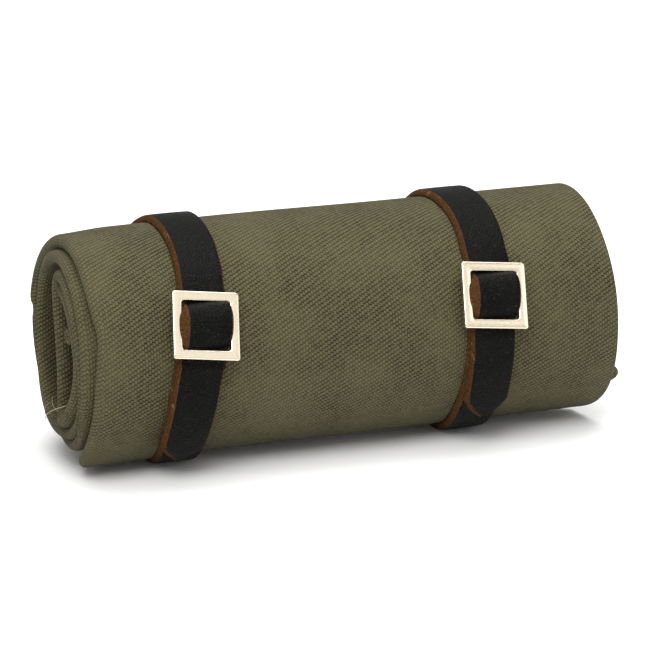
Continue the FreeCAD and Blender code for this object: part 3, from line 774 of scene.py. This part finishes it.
class TOOLROLL_OT_stage(bpy.types.Operator):
    """Sets the camera, the pale floor and the soft studio light"""
    bl_idname = "toolroll.stage"
    bl_label = "Stage"

    def execute(self, context):
        scene = context.scene
        camera = new_object("camera", bpy.data.cameras.new("camera"))
        turn, rise = math.radians(20.09), math.radians(15.68)
        camera.location = (ROLL_MIDDLE - 0.3980, AXIS_Y - 1.0907, AXIS_Z + 0.3245)
        roll = math.radians(-0.44)
        sight = Matrix.Rotation(-turn, 4, "Z") @ Matrix.Rotation(math.pi / 2 - rise, 4, "X")
        camera.rotation_euler = (sight @ Matrix.Rotation(roll, 4, "Z")).to_euler()
        camera.data.lens = 211.5
        camera.data.sensor_width = 36.0
        camera.data.clip_start = 0.05
        scene.camera = camera
        scene.view_settings.view_transform = "Standard"
        floor_mesh = bpy.data.meshes.new("floor")
        reach = 4.0
        floor_mesh.from_pydata([(-reach, -reach, 0), (reach, -reach, 0), (reach, reach, 0),
                                (-reach, reach, 0)], [], [(0, 1, 2, 3)])
        floor = new_object("floor", floor_mesh)
        floor.location = (0, 0, -0.0002)
        wear(floor, plain_material("floor_paint", (0.93, 0.93, 0.93), 0.9))
        for name, place, aim, size, power in (
                ("key", (-0.45, -0.80, 1.10), (0, 0, 0.03), 0.8, 14.0),
                ("top", (0.15, 0.15, 1.30), (0, 0, 0.03), 1.2, 18.0),
                ("fill", (0.95, -0.85, 0.55), (0, 0, 0.03), 0.8, 2.2),
                ("card", (0.12, -1.00, 0.80), (0, 0, 0.04), 0.7, 0.9)):
            light = bpy.data.lights.new(name, "AREA")
            light.size, light.energy = size, power
            lamp = new_object(name, light)
            lamp.location = place
            direction = np.array(aim) - np.array(place)
            lamp.rotation_euler = Vector(direction).to_track_quat("-Z", "Y").to_euler()
        world = bpy.data.worlds.new("studio")
        world.use_nodes = True
        background = world.node_tree.nodes["Background"]
        background.inputs["Color"].default_value = (1, 1, 1, 1)
        background.inputs["Strength"].default_value = 0.45
        scene.world = world
        return {"FINISHED"}


# ---------------------------------------------------------------- materials


class Nodes:
    """Small helper that adds and links nodes in one tree."""

    def __init__(self, tree):
        self.tree = tree

    def put(self, value, target):
        """Links a socket to the target input, or gives the input its own value."""
        if isinstance(value, bpy.types.NodeSocket):
            self.tree.links.new(value, target)
        else:
            target.default_value = value

    def add(self, kind, inputs=None, **settings):
        node = self.tree.nodes.new(kind)
        for key, value in settings.items():
            setattr(node, key, value)
        for key, value in (inputs or {}).items():
            self.put(value, node.inputs[key])
        return node

    def place(self, group, inputs):
        """A group node with its inputs set; returns its outputs."""
        return self.add("ShaderNodeGroup", inputs, node_tree=group).outputs

    def math(self, operation, *values):
        return self.add("ShaderNodeMath", dict(enumerate(values)), operation=operation).outputs[0]

    def mix(self, share, first, second):
        """Mixes two colours, each a socket or red, green and blue."""
        first, second = (value if isinstance(value, bpy.types.NodeSocket) else (*value, 1.0)
                         for value in (first, second))
        return self.add("ShaderNodeMix", {0: share, 6: first, 7: second}, data_type="RGBA").outputs[2]

    def ramp(self, value, low, high, to_low=0.0, to_high=1.0):
        """Smooth step of a value from one range to another."""
        inputs = {"Value": value, "From Min": low, "From Max": high,
                  "To Min": to_low, "To Max": to_high}
        node = self.add("ShaderNodeMapRange", inputs, interpolation_type="SMOOTHSTEP")
        return node.outputs["Result"]


def new_group(name, inputs, outputs):
    """Empty shader node group with float or vector inputs and named outputs."""
    group = bpy.data.node_groups.new(name, "ShaderNodeTree")
    for label, kind, default in inputs:
        socket = group.interface.new_socket(label, in_out="INPUT", socket_type=kind)
        if default is not None:
            socket.default_value = default
    for label, kind in outputs:
        group.interface.new_socket(label, in_out="OUTPUT", socket_type=kind)
    nodes = Nodes(group)
    return group, nodes, nodes.add("NodeGroupInput").outputs, nodes.add("NodeGroupOutput").inputs


def twill_group():
    """Two-over-one twill on cloth coordinates: height of the yarns and mask of the crowns.

    Each yarn column is a rounded bump across; along it a float rises for two thirds of the
    repeat and dips for the rest, and every column is shifted by a third of the repeat.
    """
    name = "Twill weave"
    if name in bpy.data.node_groups:
        return bpy.data.node_groups[name]
    group, n, given, result = new_group(
        name,
        [("Cloth", "NodeSocketVector", None), ("Yarn pitch", "NodeSocketFloat", 0.00116),
         ("Repeat", "NodeSocketFloat", 0.00205)],
        [("Height", "NodeSocketFloat"), ("Crown", "NodeSocketFloat"), ("Yarn", "NodeSocketFloat")])
    wobble = n.add("ShaderNodeTexNoise", {"Vector": given["Cloth"], "Scale": 420.0, "Detail": 2.0})
    offset = n.add("ShaderNodeVectorMath", {0: wobble.outputs["Color"], 1: (0.5, 0.5, 0.5)},
                   operation="SUBTRACT")
    drift = n.add("ShaderNodeVectorMath", {0: offset.outputs[0], "Scale": 0.00042}, operation="SCALE")
    moved = n.add("ShaderNodeVectorMath", {0: given["Cloth"], 1: drift.outputs[0]}, operation="ADD")
    split = n.add("ShaderNodeSeparateXYZ", {0: moved.outputs[0]})
    column = n.math("DIVIDE", split.outputs["X"], given["Yarn pitch"])
    number = n.math("FLOOR", column)
    across = n.math("SUBTRACT", column, number)
    rise = n.math("SINE", n.math("MULTIPLY", across, math.pi))
    body = n.math("POWER", rise, 0.17)
    row = n.math("ADD", n.math("DIVIDE", split.outputs["Y"], given["Repeat"]),
                 n.math("MULTIPLY", number, -1.0 / 3.0))
    share = n.math("FRACT", row)
    centred = n.math("ABSOLUTE", n.math("SUBTRACT", share, 0.5))
    float_up = n.ramp(centred, 0.24, 0.5, 1.0, 0.0)
    height = n.math("MULTIPLY", body, n.math("ADD", n.math("MULTIPLY", float_up, 0.8), 0.2))
    n.tree.links.new(height, result["Height"])
    n.tree.links.new(n.math("MULTIPLY", body, float_up), result["Crown"])
    jitter = n.add("ShaderNodeTexWhiteNoise", {"W": n.math("ADD", number, n.math(
        "MULTIPLY", n.math("FLOOR", row), 17.0))}, noise_dimensions="1D")
    n.tree.links.new(jitter.outputs["Value"], result["Yarn"])
    return group


def grain_group():
    """Irregular fine relief at three scales, for leather, fibres and worn metal."""
    name = "Fine grain"
    if name in bpy.data.node_groups:
        return bpy.data.node_groups[name]
    group, n, given, result = new_group(
        name,
        [("Place", "NodeSocketVector", None), ("Scale", "NodeSocketFloat", 900.0)],
        [("Pebble", "NodeSocketFloat"), ("Cloud", "NodeSocketFloat"), ("Speck", "NodeSocketFloat")])
    cells = n.add("ShaderNodeTexVoronoi", {"Vector": given["Place"], "Scale": given["Scale"]},
                  feature="SMOOTH_F1")
    cells.inputs["Smoothness"].default_value = 0.6
    cloud = n.add("ShaderNodeTexNoise", {"Vector": given["Place"], "Detail": 5.0, "Roughness": 0.62,
                                         "Scale": n.math("MULTIPLY", given["Scale"], 0.14)})
    speck = n.add("ShaderNodeTexNoise", {"Vector": given["Place"], "Detail": 3.0, "Roughness": 0.7,
                                         "Scale": n.math("MULTIPLY", given["Scale"], 0.8)})
    n.tree.links.new(cells.outputs["Distance"], result["Pebble"])
    n.tree.links.new(cloud.outputs[0], result["Cloud"])
    n.tree.links.new(speck.outputs[0], result["Speck"])
    return group


def start_material(name):
    material = bpy.data.materials.new(name)
    material.use_nodes = True
    tree = material.node_tree
    tree.nodes.clear()
    nodes = Nodes(tree)
    shader = nodes.add("ShaderNodeBsdfPrincipled")
    output = nodes.add("ShaderNodeOutputMaterial")
    tree.links.new(shader.outputs[0], output.inputs[0])
    return material, nodes, shader


def add_bump(nodes, shader, height, distance, strength=1.0, below=None):
    inputs = {"Height": height, "Distance": distance, "Strength": strength}
    if below is not None:
        inputs["Normal"] = below
    node = nodes.add("ShaderNodeBump", inputs)
    nodes.tree.links.new(node.outputs[0], shader.inputs["Normal"])
    return node.outputs[0]


def canvas_material(sizes):
    """Coarse olive twill: dark gaps of painted shade between the yarns, lighter crowns, yarn to yarn and
    cloudy variation.
    """
    material, n, shader = start_material("olive_twill")
    cloth = n.add("ShaderNodeUVMap", uv_map="cloth").outputs[0]
    solid = n.add("ShaderNodeTexCoord").outputs["Object"]
    weave = n.place(twill_group(), {"Cloth": cloth, "Yarn pitch": sizes.yarn_pitch,
                                    "Repeat": sizes.float_repeat})
    grain = n.place(grain_group(), {"Place": solid, "Scale": 1500.0})
    crown = n.math("ADD", weave["Crown"], n.math("MULTIPLY", n.math(
        "SUBTRACT", weave["Yarn"], 0.5), 0.55))
    # Painted shade: the crowns keep the canvas colour and the gaps between the yarns turn to the shade
    # colour.
    base = n.mix(n.ramp(crown, -0.05, 1.0), sizes.shade, sizes.colour)
    cloud = n.add("ShaderNodeTexNoise", {"Vector": solid, "Scale": 55.0, "Detail": 4.0})
    worn = n.mix(n.ramp(cloud.outputs[0], 0.35, 0.75, 0.0, 0.45), base,
                 tuple(c * 1.25 for c in sizes.colour))
    fuzz = n.mix(n.ramp(grain["Speck"], 0.56, 0.8, 0.0, 0.45), worn, (0.175, 0.160, 0.092))
    warm = n.mix(n.ramp(grain["Cloud"], 0.55, 0.75, 0.0, 0.35), fuzz, (0.082, 0.063, 0.034))
    n.tree.links.new(warm, shader.inputs["Base Color"])
    shader.inputs["Roughness"].default_value = 0.92
    shader.inputs["Specular IOR Level"].default_value = 0.12
    shader.inputs["Sheen Weight"].default_value = 0.03
    shader.inputs["Sheen Roughness"].default_value = 0.5
    low = n.add("ShaderNodeBump", {"Height": grain["Speck"], "Distance": 0.00012, "Strength": 0.6})
    add_bump(n, shader, weave["Height"], 0.00042, 1.0, low.outputs[0])
    return material


def leather_material(sizes):
    """Black grain leather with pale specks of painted sheen, whose cut mark turns to brown, fibrous edge
    and flesh.
    """
    material, n, shader = start_material("strap_leather")
    solid = n.add("ShaderNodeTexCoord").outputs["Object"]
    mark = n.add("ShaderNodeAttribute", attribute_name="cut_edge").outputs["Fac"]
    fine = n.place(grain_group(), {"Place": solid, "Scale": 2300.0})
    broad = n.place(grain_group(), {"Place": solid, "Scale": 700.0})
    ragged = n.math("ADD", mark, n.math("MULTIPLY", n.math("SUBTRACT", broad["Cloud"], 0.5), 0.9))
    cut = n.ramp(ragged, 0.42, 0.6)
    grey = n.mix(n.ramp(broad["Cloud"], 0.4, 0.75, 0.0, 0.75), sizes.grain, (0.0058, 0.0056, 0.0052))
    # Pale specks on the black grain are painted sheen, a speckled highlight of the pebbled grain.
    sheen_specks = n.mix(n.ramp(fine["Speck"], 0.55, 0.74, 0.0, 0.5), grey, (0.056, 0.052, 0.047))
    fibre = n.mix(n.ramp(fine["Speck"], 0.35, 0.7), tuple(c * 0.42 for c in sizes.cut), sizes.cut)
    pale = n.mix(n.ramp(fine["Cloud"], 0.58, 0.72, 0.0, 0.7), fibre, (0.20, 0.11, 0.05))
    n.tree.links.new(n.mix(cut, sheen_specks, pale), shader.inputs["Base Color"])
    gloss = n.ramp(broad["Cloud"], 0.3, 0.75, 0.36, 0.52)
    rough = n.math("ADD", n.math("MULTIPLY", cut, 0.42), gloss)
    n.tree.links.new(rough, shader.inputs["Roughness"])
    shader.inputs["Specular IOR Level"].default_value = 0.055
    low = n.add("ShaderNodeBump", {"Height": fine["Pebble"], "Distance": 0.00022, "Strength": 1.0})
    add_bump(n, shader, broad["Cloud"], 0.00035, 0.6, low.outputs[0])
    return material


def metal_material(name, colour, roughness):
    """Plated metal with a fine brushed grain along X, scuffs and slightly dull patches."""
    material, n, shader = start_material(name)
    solid = n.add("ShaderNodeTexCoord").outputs["Object"]
    stretched = n.add("ShaderNodeMapping", {"Vector": solid, "Scale": (0.06, 1.0, 1.0)}).outputs[0]
    brush = n.add("ShaderNodeTexNoise", {"Vector": stretched, "Scale": 9000.0, "Detail": 3.0})
    grain = n.place(grain_group(), {"Place": solid, "Scale": 1100.0})
    dull = n.ramp(grain["Cloud"], 0.5, 0.8, 0.0, 0.3)
    n.tree.links.new(n.mix(dull, tuple(colour), tuple(c * 0.72 for c in colour)),
                     shader.inputs["Base Color"])
    shader.inputs["Metallic"].default_value = 1.0
    rough = n.math("ADD", n.ramp(brush.outputs[0], 0.3, 0.7, roughness - 0.05, roughness + 0.06),
                   n.math("MULTIPLY", dull, 0.3))
    n.tree.links.new(rough, shader.inputs["Roughness"])
    add_bump(n, shader, brush.outputs[0], 0.00002, 0.35)
    return material


def thread_material(name, colour):
    """Twisted cotton thread: slanted ply lines along and across the thread."""
    material, n, shader = start_material(name)
    solid = n.add("ShaderNodeTexCoord").outputs["Object"]
    split = n.add("ShaderNodeSeparateXYZ", {0: solid})
    slant = n.math("ADD", n.math("MULTIPLY", split.outputs["X"], 1600.0),
                   n.math("MULTIPLY", split.outputs["Z"], 1000.0))
    ply = n.math("ABSOLUTE", n.math("SUBTRACT", n.math("FRACT", slant), 0.5))
    base = n.mix(n.ramp(ply, 0.1, 0.5), colour, tuple(c * 0.5 for c in colour))
    n.tree.links.new(base, shader.inputs["Base Color"])
    shader.inputs["Roughness"].default_value = 0.85
    add_bump(n, shader, ply, 0.00008, 0.8)
    return material


def plain_material(name, colour, roughness):
    material, _, shader = start_material(name)
    shader.inputs["Base Color"].default_value = (*colour, 1.0)
    shader.inputs["Roughness"].default_value = roughness
    return material


# ---------------------------------------------------------------- add-on


class TOOLROLL_PT_panel(bpy.types.Panel):
    """Lists the builders"""
    bl_idname = "TOOLROLL_PT_panel"
    bl_label = "Tool Roll"
    bl_space_type = "VIEW_3D"
    bl_region_type = "UI"
    bl_category = "Tool Roll"

    def draw(self, context):
        for operator in BUILDERS:
            self.layout.operator(operator.bl_idname)
        for group in (context.scene.tool_roll_canvas, context.scene.tool_roll_straps,
                      context.scene.tool_roll_buckles):
            for name in group.__annotations__:
                self.layout.prop(group, name)


BUILDERS = (TOOLROLL_OT_stage, TOOLROLL_OT_canvas, TOOLROLL_OT_threads, TOOLROLL_OT_straps,
            TOOLROLL_OT_buckles)
GROUPS = {"tool_roll_canvas": CanvasSettings, "tool_roll_straps": StrapSettings,
          "tool_roll_buckles": BuckleSettings}


def register():
    for kind in (*GROUPS.values(), *BUILDERS, TOOLROLL_PT_panel):
        bpy.utils.register_class(kind)
    for name, kind in GROUPS.items():
        setattr(bpy.types.Scene, name, PointerProperty(type=kind))


def unregister():
    for name in GROUPS:
        delattr(bpy.types.Scene, name)
    for kind in reversed((*GROUPS.values(), *BUILDERS, TOOLROLL_PT_panel)):
        bpy.utils.unregister_class(kind)


def main():
    register()
    for operator in BUILDERS:
        group, call = operator.bl_idname.split(".")
        getattr(getattr(bpy.ops, group), call)()


if __name__ == "__main__":
    main()
